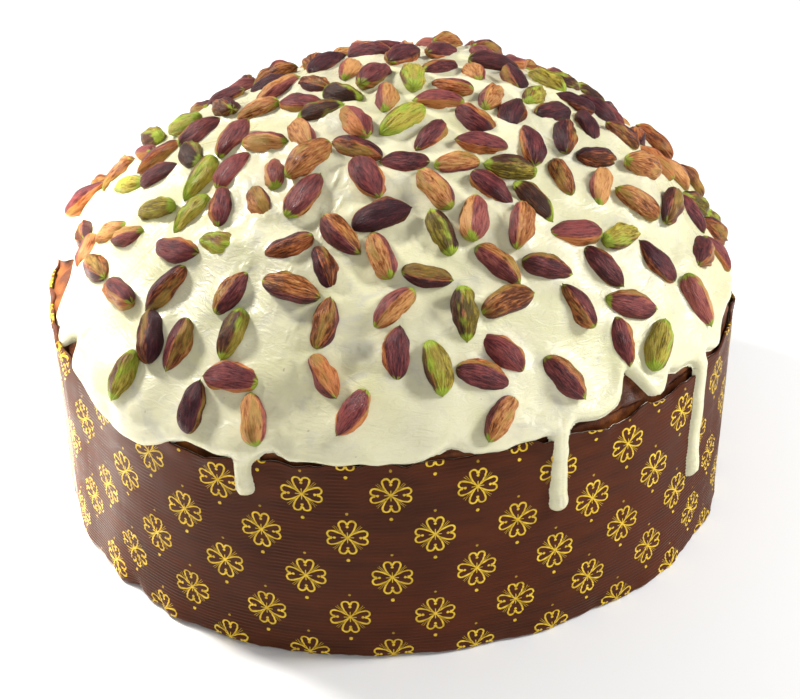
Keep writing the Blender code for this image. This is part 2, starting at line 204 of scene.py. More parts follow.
WALL_CREASES = ((-63, 5.0, 0.0006), (-54, 4.5, -0.0005), (74, 3.0, -0.0006))
RIM_CURL = ((0.008, 0.0012, 45),)
RIM_CURL_HEIGHT = 0.006
RIM_RAG = ((0.0042, 0.0010, 51), (0.0013, 0.0005, 52))
RIM_LEAN = 0.55
FOOT_WAVES = ((0.011, 0.0011, 46), (0.0035, 0.0005, 47))
FOOT_WAVE_HEIGHT = 0.009
FOOT_ROUNDING = 0.0018
FOOT_ROUNDING_CELL, FOOT_ROUNDING_SPREAD = 0.013, 0.0012
RIM_TEARS = (
    (-72, 16, 0.0028), (-27, 5, -0.0040), (-32, 4, -0.0018), (-16, 2, -0.0010), (4, 4, -0.0009),
    (11, 4, -0.0014), (35, 4, -0.0022), (45.5, 2, -0.0018), (66, 7, -0.0010), (84, 9, -0.0015),
    (134, 8, -0.0020), (-112, 9, -0.0020), (-171, 7, -0.0015),
)
FOOT_FOLDS = (
    (-49, 2.2, 0.0016), (-45, 1.4, -0.0016), (-38.5, 1.0, -0.0012), (-34, 3.5, 0.0010),
    (-24, 4, 0.0009), (44, 2, 0.0008), (51, 1.6, 0.0010),
)
SEAM_ANGLE = 180.0
SEAM_STEP = 0.0009

# The print: gold four-petal ornaments in staggered rows, broken at the case's seam.
PRINT_PITCH = math.radians(12.52)
PRINT_PITCH_UP = 0.0280
PRINT_ANGLE = math.radians(6.26)
PRINT_LEVEL = 0.0156
PRINT_LIFT = 10.0
PRINT_LIFT_ANGLES = (math.radians(-34), math.radians(-66))

# The camera, from the photograph: a long lens, a third of a right angle up.
LENS = 72.0
SENSOR_WIDTH = 36.0
CAMERA_RISE = math.radians(30.6)
CAMERA_ROLL = math.radians(-0.8)
CAMERA_DISTANCE = 0.537
CAMERA_TARGET = Vector((0.003, 0.0, 0.038))
WORLD_STRENGTH = 0.34
GLOW_SPREAD = math.radians(75)


def smooth_step(value):
    value = np.clip(value, 0.0, 1.0)
    return value * value * (3 - 2 * value)


def angle_apart(first, second):
    """The signed difference of two angles in degrees, between -180 and 180."""
    return (first - second + 180) % 360 - 180


def around(angle, radius, height):
    return np.stack(np.broadcast_arrays(radius * np.sin(angle), -radius * np.cos(angle), height), axis=-1)


def unit(vectors):
    return vectors / np.linalg.norm(vectors, axis=-1, keepdims=True)


def bell(offset, half_width):
    """A smooth hump: 1 in the middle, about a third at a half width."""
    return np.exp(-((offset / half_width) ** 2))


def bumps(points, cell, seed):
    """Smooth noise, from about -1 to 1, at each point, with bumps about one cell across."""
    shift = Vector((seed * 7.13, seed * 3.71, seed * 5.47))
    flat = np.reshape(points, (-1, 3)) / cell
    values = [noise.noise(Vector(point) + shift) for point in flat]
    return np.reshape(values, np.shape(points)[:-1])


def layers(points, kinds):
    """Noise of several sizes added up: each kind is a cell, a rise and a seed."""
    return sum(bumps(points, cell, seed) * rise for cell, rise, seed in kinds)


def even_angles(columns):
    """Angles all the way round, the first at the back."""
    return np.arange(columns) / columns * math.tau - math.pi


def case_radius(angle):
    turned = angle + OVAL_TURN
    return CASE_RADIUS + OVAL_RISE * np.cos(2 * turned) + LOBE_RISE * np.cos(LOBES * turned)


def rim_height(angle):
    return CASE_HEIGHT - RIM_WAVE * (2 - sum(np.sin(waves * angle) for waves in RIM_WAVES))


def icing_thickness(height):
    grown = smooth_step((height - RIM_LEVEL) / FULL_THICKNESS_RISE)
    return SKIRT_THICKNESS + (ICING_THICKNESS - SKIRT_THICKNESS) * grown


def dome_point(angle, fall):
    """A point of the icing's outer skin, with fall 0 at the crown and a right angle at the rim."""
    rise = np.maximum(np.cos(fall), 0.0) ** DOME_CROWN
    skin = case_radius(angle) + SKIRT_TO_CASE + SKIRT_THICKNESS - SKIRT_FLARE
    flare = SKIRT_FLARE * (1 - smooth_step(DOME_RISE * rise / FULL_THICKNESS_RISE))
    point = around(angle, (skin + flare) * np.sin(fall) ** DOME_ROUNDNESS, RIM_LEVEL + DOME_RISE * rise)
    return point + np.multiply.outer(rise, (LEAN_RIGHT, LEAN_BACK, 0))


def dome_axes(angle, fall):
    """Unit vectors at a point of the dome: down the slope, across it, and out of the skin."""
    lower = np.minimum(fall + SLOPE_STEP, math.pi / 2)
    down = dome_point(angle, lower) - dome_point(angle, fall - SLOPE_STEP)
    across = dome_point(angle + SLOPE_STEP, fall) - dome_point(angle - SLOPE_STEP, fall)
    out = unit(np.cross(down, across))
    down = unit(down)
    return down, np.cross(out, down), out


def sum_of_features(angle, features):
    """The sum of bell-shaped rises at this angle: each feature is an angle, a half width and a rise."""
    degrees = np.degrees(angle)
    return sum(rise * bell(angle_apart(degrees, middle), width) for middle, width, rise in features)


def edge_height(angle):
    return EDGE_LEVEL + sum_of_features(angle, EDGE_FEATURES)


def dome_drops():
    """Matching tables of fall and drop down the dome's profile."""
    falls = np.linspace(0, math.pi / 2, PROFILE_STEPS)
    rises = np.cos(falls) ** DOME_CROWN
    radii = (CASE_RADIUS + SKIRT_THICKNESS) * np.sin(falls) ** DOME_ROUNDNESS
    steps = np.hypot(np.diff(radii), np.diff(DOME_RISE * rises))
    arcs = np.concatenate(([0.0], np.cumsum(steps)))
    return falls, arcs - arcs[-1]


FALLS, DROPS = dome_drops()
CROWN_DROP = DROPS[0]


def drop_at_height(height):
    rise = np.maximum((height - RIM_LEVEL) / DOME_RISE, 0.0)
    fall = np.arccos(rise ** (1 / DOME_CROWN))
    return np.where(height > RIM_LEVEL, np.interp(fall, FALLS, DROPS), RIM_LEVEL - height)


def skin(angle, drop):
    """The icing's usual outer skin at this drop: point, unit vector out, and depth to what it covers."""
    fall = np.clip(np.interp(drop, DROPS, FALLS), 2 * SLOPE_STEP, math.pi / 2)
    above = dome_point(angle, fall)
    below = around(angle, case_radius(angle) + SKIRT_TO_CASE + SKIRT_THICKNESS, RIM_LEVEL - drop)
    out_above = dome_axes(angle, fall)[2]
    out_below = around(angle, 1.0, 0.0)
    on_dome = (drop <= 0)[..., None]
    point = np.where(on_dome, above, below)
    out = np.where(on_dome, out_above, out_below)
    grown = smooth_step((point[..., 2] - RIM_LEVEL) / FULL_THICKNESS_RISE)
    return point, out, icing_thickness(point[..., 2]) + SKIRT_TO_CASE * (1 - grown)


def icing_edge(angle):
    """The drop of the icing's ragged edge."""
    height = edge_height(angle) + sum_of_features(angle, EDGE_DETAILS)
    rag = bumps(around(angle, CASE_RADIUS, 0.0), EDGE_RAG_CELL, 3)
    return drop_at_height(height) + EDGE_RAG * 2 * rag


def drip_inside(angle, drop, drip, index):
    """How far inside a drip's outline a place is, below zero outside it, and how near its tip."""
    degrees, tip, width = drip
    end = drop_at_height(np.array(tip)) - width / 2
    wobble = bumps(np.stack((drop * 0, drop, drop * 0 + index), axis=-1), DRIP_WOBBLE_CELL, 5)
    narrow = bumps(np.stack((drop * 0 + index, drop, drop * 0), axis=-1), DRIP_NARROW_CELL, 6)
    side = np.radians(angle_apart(np.degrees(angle), degrees)) * CASE_RADIUS + DRIP_WOBBLE * 2 * wobble
    tip_length = DRIP_TIP_WIDTHS * width
    near_tip = smooth_step((drop - end + tip_length) / tip_length)
    radius = width / 2 * (DRIP_NECK + DRIP_BULB * near_tip) + DRIP_WOBBLE * narrow
    return radius - np.hypot(side, np.maximum(drop - end, 0.0)), near_tip


def joined(first, second):
    """The larger of two distances, with a fillet where they meet."""
    overlap = np.maximum(DRIP_FILLET - np.abs(first - second), 0.0)
    return np.maximum(first, second) + overlap * overlap / (4 * DRIP_FILLET)


def icing_inside(angle, drop):
    """How far inside the icing's whole outline a place is, and how near a drip's tip."""
    ahead, behind = icing_edge(angle + EDGE_STEP), icing_edge(angle - EDGE_STEP)
    slope = (ahead - behind) / (2 * EDGE_STEP * CASE_RADIUS)
    inside = (icing_edge(angle) - drop) / np.sqrt(1 + slope * slope)
    tips = np.zeros_like(inside)
    for index, drip in enumerate(DRIPS):
        near = np.abs(angle_apart(np.degrees(angle), drip[0])) < ZONE_HALF_WIDTH * 2
        distance, near_tip = drip_inside(angle[near], drop[near], drip, index)
        inside[near] = joined(inside[near], distance)
        tips[near] = np.maximum(tips[near], near_tip * smooth_step(distance / BEAD_ROLL))
    return inside, tips


def relief(points, depth):
    """The icing's waves, lumps and spatula marks at points of its usual skin, never down to the crust."""
    warp = np.stack([bumps(points, WAVE_CELL / 2, seed) for seed in (13, 14, 15)], axis=-1)
    warped = points + warp * MARK_CELL * MARK_WARP
    marks = 1 - np.abs(bumps(warped * MARK_STRETCH, MARK_CELL, 16)) * MARK_SHARPNESS
    patchy = np.clip(MARK_PATCHES + PATCH_CONTRAST * bumps(points, WAVE_CELL, 17), 0, 1)
    marked = MARK_RISE * patchy * np.clip(marks, 0, 1) ** 2
    rise = layers(points, WAVES_AND_LUMPS) + marked - RELIEF_LEVEL
    least = -RELIEF_DEPTH_SHARE * depth
    return np.logaddexp(rise / RELIEF_SOFTNESS, least / RELIEF_SOFTNESS) * RELIEF_SOFTNESS


def hug(points, kernels):
    """How far the icing rises round the kernels."""
    rise = np.zeros(points.shape[:-1])
    half_spine = KERNEL_LENGTH * HUG_SPINE
    for kernel in kernels:
        along = unit(np.array(kernel["matrix"].col[0][:3]))
        offset = points - np.array(kernel["matrix"].translation)
        spine = np.clip(offset @ along, -half_spine, half_spine)[..., None] * along
        gap = np.linalg.norm(offset - spine, axis=-1) - KERNEL_WIDTH * HUG_GIRTH * kernel["size"]
        rise = np.maximum(rise, HUG_RISE * np.exp(-np.maximum(gap, 0) / HUG_REACH))
    return rise


def column_angles():
    """The icing's columns: even, and closer where the drips are."""
    degrees = np.linspace(-180, 180, ANGLE_STEPS)
    density = np.ones_like(degrees)
    for middle, _, _ in DRIPS:
        density += DENSE_COLUMNS * np.exp(-((angle_apart(degrees, middle) / DENSE_HALF_WIDTH) ** 4))
    total = np.concatenate(([0.0], np.cumsum((density[1:] + density[:-1]) / 2)))
    shares = np.arange(ICING_COLUMNS) / ICING_COLUMNS * total[-1]
    return np.radians(np.interp(shares, total, degrees))


class Sheet:
    """Points and faces of one open sheet, as (angle, drop) places. A closed row ends with its first point."""

    def __init__(self):
        self.angles = []
        self.drops = []
        self.faces = []

    def add(self, angles, drops):
        first = len(self.angles)
        self.angles.extend(angles)
        self.drops.extend(drops)
        return np.arange(first, len(self.angles))

    def strip(self, upper, lower):
        """Four-sided faces between two rows with the same number of points."""
        self.faces.extend(zip(upper[:-1], lower[:-1], lower[1:], upper[1:]))

    def widen(self, upper, lower):
        """Faces from a row to the next one down, with twice as many steps."""
        steps = zip(upper[:-1], upper[1:], lower[:-2:2], lower[1::2], lower[2::2])
        for start, end, left, middle, right in steps:
            self.faces.extend(((start, left, middle), (start, middle, end), (end, middle, right)))


def ring_step(radius):
    """How many columns a ring of the dome skips, fewer points being needed near the crown."""
    step = 1
    while step < WIDEST_SKIP and radius < WIDE_RING / step:
        step *= 2
    return step


def drip_zones(angles):
    """Runs of columns that hold drips, each with the drop of its lowest tip."""
    degrees = np.degrees(angles)
    near = np.zeros(len(angles), dtype=bool)
    for middle, _, _ in DRIPS:
        near |= np.abs(angle_apart(degrees, middle)) < ZONE_HALF_WIDTH
    columns = np.flatnonzero(near)
    zones = []
    for zone in np.split(columns, np.flatnonzero(np.diff(columns) > 1) + 1):
        tips = [tip for middle, tip, _ in DRIPS if degrees[zone[0]] < middle < degrees[zone[-1]]]
        zones.append((zone, float(drop_at_height(np.array(min(tips))))))
    return zones


def icing_rows(edges):
    """The icing's rings from the crown to just past its edge: columns skipped, and drops."""
    rows = []
    for share in np.linspace(0, 1, DOME_ROWS)[1:]:
        drops = CROWN_DROP + (edges + DOME_ROWS_END - CROWN_DROP) * share
        level = CROWN_DROP + (float(np.mean(edges)) + DOME_ROWS_END - CROWN_DROP) * share
        bend = smooth_step((share - ROW_BEND_START) / ROW_BEND_SPAN)
        radius = CASE_RADIUS * math.sin(float(np.interp(level, DROPS, FALLS)))
        rows.append((ring_step(radius), level + (drops - level) * bend))
    for count in range(1, EDGE_ROWS + 1):
        eased = 1 - (1 - count / EDGE_ROWS) ** EDGE_EASE
        rows.append((1, edges + DOME_ROWS_END + (EDGE_OUTSIDE - DOME_ROWS_END) * eased))
    return rows


def add_drip_rows(sheet, upper, angles, top, tip):
    """Rows from the icing's edge to just below a drip's tip."""
    bottom = tip + DRIP_BELOW_TIP
    rows = math.ceil((bottom - float(np.min(top))) / DRIP_ROW)
    for row in range(1, rows + 1):
        lower = sheet.add(angles, top + (bottom - top) * row / rows)
        sheet.strip(upper, lower)
        upper = lower


def icing_places():
    """The icing as a sheet of places: rings down the dome, close rows at the edge, then the drips."""
    sheet = Sheet()
    angles = column_angles()
    edges = icing_edge(angles)
    previous = None
    for step, drops in icing_rows(edges):
        ring = sheet.add(angles[::step], drops[::step])
        closed = np.append(ring, ring[0])
        if previous is None:
            sheet.faces.append(tuple(ring))
        elif len(previous) == len(closed):
            sheet.strip(previous, closed)
        else:
            sheet.widen(previous, closed)
        previous = closed
    for columns, tip in drip_zones(angles):
        add_drip_rows(sheet, previous[columns], angles[columns], edges[columns] + EDGE_OUTSIDE, tip)
    return sheet


def shell_faces(faces, count):
    """A sheet's faces, its copy on the inner side turned round, and walls along its open edges."""
    sides = set()
    for face in faces:
        sides.update(zip(face, face[1:] + face[:1]))
    walls = [(b, a, a + count, b + count) for a, b in sides if (b, a) not in sides]
    inner = [tuple(index + count for index in reversed(face)) for face in faces]
    return list(faces) + inner + walls


def make_mesh(name, points, faces, material):
    """An object from points and faces, without the points that no face uses."""
    used = np.unique(np.concatenate([np.asarray(face) for face in faces]))
    renumber = np.zeros(len(points), dtype=np.int64)
    renumber[used] = np.arange(len(used))
    mesh = bpy.data.meshes.new(name)
    mesh.from_pydata(np.asarray(points)[used].tolist(), [], [renumber[list(face)].tolist() for face in faces])
    mesh.validate()
    mesh.shade_smooth()
    mesh.materials.append(material)
    thing = bpy.data.objects.new(name, mesh)
    scene.collection.objects.link(thing)
    return thing


def set_attribute(thing, name, values):
    kind, field = ("FLOAT", "value") if values.ndim == 1 else ("FLOAT_VECTOR", "vector")
    attribute = thing.data.attributes.new(name, kind, "POINT")
    attribute.data.foreach_set(field, np.ravel(values).astype(np.float32))


def make_icing(kernels, material):
    sheet = icing_places()
    angle = np.array(sheet.angles)
    drop = np.array(sheet.drops)
    inside, tips = icing_inside(angle, drop)
    faces = [tuple(int(index) for index in face) for face in sheet.faces]
    faces = [face for face in faces if max(inside[list(face)]) > CUT_OUTSIDE]
    point, out, depth = skin(angle, drop)
    bead = np.sqrt(1 - (1 - np.clip(inside / BEAD_ROLL, 0, 1)) ** 2)
    near_edge = 1 - smooth_step(inside / RELIEF_FADE)
    height = (depth + BEAD_SWELL * near_edge + TIP_SWELL * tips) * bead
    height = np.where(inside < 0, np.maximum(inside * OUTSIDE_SLOPE, -OUTSIDE_SINK), height)
    raised = relief(point, depth) + hug(point, kernels)
    height += raised * (1 - near_edge) + EDGE_RELIEF_SHARE * raised * near_edge * bead
    outer = point + out * (height - depth)[:, None]
    inner = point - out * (depth + UNDER_SKIN)[:, None]
    return make_mesh("icing_coat", np.concatenate((outer, inner)), shell_faces(faces, len(outer)), material)


def spread_falls(count):
    """Falls that share the dome's skin evenly between kernels, closer together near the crown."""
    falls = np.linspace(0, math.pi / 2, FALL_STEPS)
    profile = dome_point(0.0 * falls, falls) - dome_point(0.0, 0.0)
    steps = np.linalg.norm(np.diff(profile, axis=0), axis=1)
    thinned = smooth_step((np.degrees(falls[1:]) - CLOSE_FALL) / (THIN_FALL - CLOSE_FALL))
    weights = np.sin(falls[1:]) ** DOME_ROUNDNESS * steps * (1 - (1 - THIN_SHARE) * thinned)
    weights *= dome_point(0.0 * falls[1:], falls[1:])[:, 2] > EDGE_LEVEL + KERNEL_EDGE_ROOM
    shares = np.concatenate(([0.0], np.cumsum(weights) / np.sum(weights)))
    return np.interp((np.arange(count) + 0.5) / count, shares, falls)


def draw_kernels(draw):
    """The greenest kernels in their own places, then the rest along a sunflower's spiral."""
    kernels = []
    for place in GREEN_KERNELS:
        turned = zip(("angle", "fall", "heading"), map(math.radians, place))
        kernels.append({**dict(turned), "tilt": 0.0, "roll": 0.0, "size": 1.0, "kind": "kernel_green"})
    for number, fall in enumerate(spread_falls(KERNEL_COUNT - len(kernels))):
        angle = number * GOLDEN_TURN + draw.uniform(-KERNEL_JITTER, KERNEL_JITTER)
        angle -= FRONT_CROWD * math.sin(angle)
        free = math.degrees(fall) < KERNEL_FREE_FALL
        heading = draw.uniform(-90, 90) if free else draw.gauss(0, KERNEL_HEADING_SPREAD)
        kind = draw.random()
        kernels.append({
            "angle": angle,
            "fall": fall,
            "heading": math.radians(heading),
            "tilt": math.radians(draw.uniform(-KERNEL_TILT, KERNEL_TILT)),
            "roll": math.radians(draw.uniform(-KERNEL_ROLL, KERNEL_ROLL)),
            "size": 1 + draw.uniform(-KERNEL_SIZE_SPREAD, KERNEL_SIZE_SPREAD),
            "kind": next(name for name, share in KIND_SHARES if kind <= share),
        })
    return kernels


def kernel_pushes(angle, fall, heading, size):
    """Which way and how far each kernel's neighbours push it, from how far their spines are too close."""
    down, across, _ = dome_axes(angle, fall)
    along = down * np.cos(heading)[:, None] + across * np.sin(heading)[:, None]
    spines = dome_point(angle, fall)[:, None] + along[:, None] * np.array(KERNEL_SPINE)[:, None]
    girths = size[:, None] * np.array(KERNEL_GIRTHS) * KERNEL_WIDTH / 2
    away = spines[:, None, :, None] - spines[None, :, None, :]
    apart = np.linalg.norm(away, axis=-1)
    room = girths[:, None, :, None] + girths[None, :, None, :] + KERNEL_ROOM
    overlap = np.maximum(room - apart, 0.0)
    np.einsum("iijk->ijk", overlap)[:] = 0.0
    return (away * (overlap / np.maximum(apart, KERNEL_ROOM))[..., None]).sum(axis=(1, 2, 3))


def most_fall(angle):
    """How far down the dome a kernel may lie, which keeps it off the icing's edge."""
    height = np.maximum(edge_height(angle), EDGE_LEVEL) + KERNEL_EDGE_ROOM
    return np.arccos(((height - RIM_LEVEL) / DOME_RISE) ** (1 / DOME_CROWN))


def scatter_kernels():
    """Every kernel's place, once those too close have pushed each other apart. The greenest stay put."""
    kernels = draw_kernels(random.Random(KERNEL_SEED))
    angle, fall, heading, size = (
        np.array([kernel[key] for kernel in kernels]) for key in ("angle", "fall", "heading", "size")
    )
    for _ in range(KERNEL_PUSHES):
        push = kernel_pushes(angle, fall, heading, size)
        push[:len(GREEN_KERNELS)] = 0.0
        spot = around(angle, case_radius(angle) * np.sin(fall) ** DOME_ROUNDNESS, 0.0) + push * KERNEL_PUSH
        angle = np.arctan2(spot[:, 0], -spot[:, 1])
        reach = np.minimum(np.hypot(spot[:, 0], spot[:, 1]) / case_radius(angle), 1.0)
        fall = np.clip(np.arcsin(reach ** (1 / DOME_ROUNDNESS)), 2 * SLOPE_STEP, most_fall(angle))
    for index, kernel in enumerate(kernels):
        kernel["angle"], kernel["fall"] = float(angle[index]), float(fall[index])
    return kernels


def kernel_matrix(kernel):
    """Where a kernel lies: on the icing's relief, sunk into it, turned to its heading."""
    down, across, out = dome_axes(kernel["angle"], kernel["fall"])
    point = dome_point(kernel["angle"], kernel["fall"])
    depth = float(icing_thickness(point[2]))
    sink = min(KERNEL_SINK, depth - GAP)
    lift = KERNEL_HEIGHT * kernel["size"] / 2 - sink + float(relief(point[None], depth)[0])
    facing = Matrix((down, across, out)).transposed().to_4x4()
    turn = Matrix.Rotation(kernel["heading"], 4, "Z") @ Matrix.Rotation(kernel["tilt"], 4, "Y")
    seat = Matrix.Translation(Vector(point + out * lift)) @ facing @ turn
    return seat @ Matrix.Rotation(kernel["roll"], 4, "X") @ Matrix.Scale(kernel["size"], 4)


# A kernel's own form: points along and around it, its ends, keel, smooth face and wrinkles. Angles round it
# count from its keel, in radians. Scales say how fine the noise is along it and around it.
KERNEL_RINGS = 22
KERNEL_SIDES = 28
KERNEL_FULLNESS = 0.87
BLUNT_END = (2.5, 0.52)
POINTED_END = (2.0, 0.62)
POINTED_SPREAD = 0.10
KERNEL_BEAK = 0.525
BEND_RISE = 0.0008
KIND_KEELS = {"kernel_maroon": 32, "kernel_tan": -12, "kernel_green": -4}
KEEL_SPREAD = 38
KEEL_SHARPNESS = 0.30
KEEL_RISE = 0.12
FACE_START, FACE_END = 0.16, 0.3
FLAT_MIDDLE, FLAT_WIDTH = 1.1, 0.6
FLAT_FACE = 0.10
FAR_EDGE, FAR_EDGE_WIDTH = 2.5, 0.35
DENT_RISE = 0.00034
DENT_SCALE = (3.2, 1.2)
DENT_SPACING = 4.7
WRINKLE_RISE = 0.00042
RIB_SCALE = (2.0, 3.4)
FINE_SCALE = (5.0, 7.5)
GRAIN_SCALE = (0.45, KERNEL_WIDTH * 0.5)
GRAIN_END = 0.0036
GRAIN_SPACING = 0.031
GREEN_AT_ENDS = 0.9
RIDGE_AT_ENDS = 0.5


def kernel_girth(ahead, luck):
    """How thick a kernel is along its length, from its blunt end to its pointed one."""
    blunt = (1 - np.abs(ahead) ** BLUNT_END[0]) ** BLUNT_END[1]
    pointed = (1 - np.abs(ahead) ** POINTED_END[0]) ** (POINTED_END[1] + POINTED_SPREAD * luck)
    return KERNEL_FULLNESS * np.where(ahead < 0, blunt, pointed)


def kernel_streaks(reach, off_keel, index, scale, seed):
    """Noise drawn out along a kernel, different on each."""
    return bumps(np.stack((reach * scale[0], off_keel * scale[1], reach * 0 + index), axis=-1), 1.0, seed)


def kernel_grain(x, off_keel, index):
    """Where the skin's fine grain is read, far from every other kernel's."""
    far = index * GRAIN_SPACING
    grain = np.stack((x * GRAIN_SCALE[0], off_keel * GRAIN_SCALE[1], x * 0 + far), axis=-1)
    return np.concatenate((grain.reshape(-1, 3), [(-GRAIN_END, 0, far), (GRAIN_END, 0, far)]))


def kernel_points(kernel, index, luck):
    """One kernel's points in its own frame, and what its colours need to know at each."""
    along = ((1 - np.cos(np.linspace(0, math.pi, KERNEL_RINGS))) / 2)[1:-1]
    turn = np.arange(KERNEL_SIDES) / KERNEL_SIDES * math.tau
    reach, spin = np.meshgrid(along, turn, indexing="ij")
    ahead = 2 * reach - 1
    girth = kernel_girth(ahead, luck[0])
    keel = math.radians(KIND_KEELS[kernel["kind"]] + KEEL_SPREAD * luck[0])
    off_keel = (spin - math.pi / 2 + keel + math.pi) % math.tau - math.pi
    ridge = bell(off_keel, KEEL_SHARPNESS)
    face = smooth_step(off_keel / FACE_START + 0.5) * smooth_step((FAR_EDGE - off_keel) / FACE_END)
    flat = bell(off_keel - FLAT_MIDDLE, FLAT_WIDTH)
    scale = girth * (1 + KEEL_RISE * ridge * (1 - ahead ** 4) - FLAT_FACE * flat)
    lengthwise, crosswise = DENT_SCALE
    place = np.stack((reach * lengthwise, np.cos(spin) * crosswise, np.sin(spin) * crosswise), axis=-1)
    place += index * DENT_SPACING
    dents = bumps(place, 1.0, 21) * 2 * DENT_RISE
    ribs = kernel_streaks(reach, off_keel, index, RIB_SCALE, 22)
    fine = kernel_streaks(reach, off_keel, index, FINE_SCALE, 23)
    wrinkles = (np.abs(ribs) * 2.6 - 0.6 + fine) * WRINKLE_RISE * (1.15 - 0.75 * face)
    swell = (dents + wrinkles) * np.minimum(girth * 1.4, 1)
    bend = BEND_RISE * luck[1]
    x = (reach - 0.5) * KERNEL_LENGTH
    y = np.cos(spin) * (KERNEL_WIDTH / 2 * scale + swell) + bend * ahead ** 2
    z = np.sin(spin) * (KERNEL_HEIGHT / 2 * scale + swell)
    ends = np.array([(-KERNEL_LENGTH / 2, bend, 0), (KERNEL_LENGTH * KERNEL_BEAK, bend, 0)])
    margin = ridge * 0.5 + bell(off_keel - FAR_EDGE, FAR_EDGE_WIDTH) * 0.6
    tipness = smooth_step((np.abs(reach - 0.5) - 0.34) / 0.14)
    green = margin * (0.4 + 0.6 * bumps(place, 0.8, 24)) + tipness * 0.8
    values = {
        "face": np.append(face, (face[0].mean(), face[-1].mean())),
        "green": np.append(green, [GREEN_AT_ENDS] * 2),
        "ridge": np.append(ridge, [RIDGE_AT_ENDS] * 2),
        "grain": kernel_grain(x, off_keel, index),
    }
    return np.concatenate((np.stack((x, y, z), axis=-1).reshape(-1, 3), ends)), values


def make_kernels(kernels, kind, material):
    """All kernels of one kind as one mesh, with point attributes for their colours."""
    draw = random.Random(KERNEL_SEED + len(kind))
    single = [face[:1] + face[:0:-1] for face in rings_to_faces(KERNEL_RINGS - 2, KERNEL_SIDES)]
    points, faces, values = [], [], []
    for index, kernel in enumerate(kernels):
        luck = (draw.uniform(-1, 1), draw.uniform(-1, 1), draw.random(), draw.random())
        if kernel["kind"] != kind:
            continue
        own, about = kernel_points(kernel, index, luck)
        first = len(points) * len(own)
        matrix = np.array(kernel["matrix"])
        flip = np.array((-1, -1, 1)) if luck[2] < 0.5 else np.ones(3)
        points.append((own * flip) @ matrix[:3, :3].T + matrix[:3, 3])
        faces.extend(tuple(corner + first for corner in face) for face in single)
        values.append({**about, "luck": np.full(len(own), luck[3])})
    thing = make_mesh(kind.replace("kernel", "kernels"), np.concatenate(points), faces, material)
    for key in values[0]:
        set_attribute(thing, key, np.concatenate([about[key] for about in values]))
    return thing


def rings_to_faces(rows, columns):
    """Faces of a closed body of rings, whose last two points are its ends."""
    first_pole = rows * columns
    faces = []
    for index in range(columns):
        after = (index + 1) % columns
        for row in range(rows - 1):
            low, high = row * columns, (row + 1) * columns
            faces.append((low + index, low + after, high + after, high + index))
        faces.append((first_pole, after, index))
        last = (rows - 1) * columns
        faces.append((first_pole + 1, last + index, last + after))
    return faces


def make_rings(name, rows, first_pole, last_pole, material):
    """A closed body from its rings of points and the point at each end."""
    points = np.concatenate(rows + [[first_pole], [last_pole]])
    return make_mesh(name, points, rings_to_faces(len(rows), len(rows[0])), material)


def crust_row(angle, drop, wall):
    """One ring of the loaf's top: close under the icing, set back and craggy where it is bare."""
    point, out, depth = skin(angle, drop)
    back = CRUST_UNDER + CRUST_RECESS * smooth_step((drop - icing_edge(angle)) / CRUST_RECESS_RUN)
    point = point - out * (depth + back)[:, None]
    crags = layers(point, CRUST_CRAGS) - CRUST_CRAG_LEVEL
    point = point + out * (crags * smooth_step(back / CRUST_RECESS))[:, None]
    radius = np.hypot(point[:, 0], point[:, 1])
    inside_case = wall - CRUST_TUCK - np.maximum(crags, 0)
    most = np.where(point[:, 2] < RIM_LEVEL + CRUST_OVER_RIM, inside_case, 1.0)
    point[:, :2] *= (np.minimum(radius, most) / radius)[:, None]
    return point


def make_crust(material):
    """The loaf: its base and wall inside the case, its browned shoulder, and its dome under the icing."""
    angle = even_angles(CRUST_COLUMNS)
    base = CASE_PAPER + GAP
    wall = case_radius(angle) - CASE_PAPER - GAP
    rows = [
        around(angle, wall - CRUST_CORNER, base),
        around(angle, wall, base + CRUST_CORNER),
        around(angle, wall - CRUST_TUCK, CRUST_WALL_LEVEL),
    ]
    bare = np.linspace(*CRUST_BARE_DROPS, CRUST_BARE_ROWS)
    covered = np.linspace(CRUST_BARE_DROPS[1] - 0.004, CROWN_DROP * 0.97, CRUST_ROWS - CRUST_BARE_ROWS)
    rows.extend(crust_row(angle, np.full_like(angle, drop), wall) for drop in (*bare, *covered))
    crown = dome_point(0.0, 2 * SLOPE_STEP) - (0, 0, CRUST_UNDER_CROWN)
    return make_rings("loaf_crust", rows, (0, 0, base), crown, material)


def wall_ribs(angle, height):
    """The paper's fine level ribs, deeper in patches and at the left."""
    place = around(angle, CASE_RADIUS, height)
    drift = bumps(place * (1, 1, 0.4), 0.030, 41) * 1.6
    strength = 0.55 + 0.9 * np.clip(bumps(place, 0.025, 42) + 0.3, 0, 1)
    strength *= 1 + LEFT_RIBS * smooth_step((LEFT_RIBS_START - np.degrees(angle)) / LEFT_RIBS_RUN)
    return RIB_DEPTH * np.sin(math.tau * height / RIB_PITCH + drift) * strength


def wall_shape(angle, height, top):
    """The case's outer radius: ribs, soft creases, an uneven foot and a torn, slightly curled rim."""
    place = around(angle, CASE_RADIUS, height)
    ring = place * (1, 1, 0)
    waves = layers(place * (1, 1, 0.35), WALL_WAVES) + layers(place, WALL_DIMPLES)
    crease = sum_of_features(angle, WALL_CREASES)
    curl = layers(ring, RIM_CURL) * smooth_step((height - top + RIM_CURL_HEIGHT) / RIM_CURL_HEIGHT)
    curl -= np.maximum(height - CASE_HEIGHT, 0.0) * RIM_LEAN
    past_seam = angle_apart(np.degrees(angle), SEAM_ANGLE)
    seam = SEAM_STEP * smooth_step((past_seam + 0.15) / 0.3) * (1 - smooth_step((past_seam - 4) / 12))
    foot = layers(ring, FOOT_WAVES) + sum_of_features(angle, FOOT_FOLDS)
    foot *= 1 - smooth_step(height / FOOT_WAVE_HEIGHT)
    return case_radius(angle) + wall_ribs(angle, height) + waves + crease + curl + seam + foot


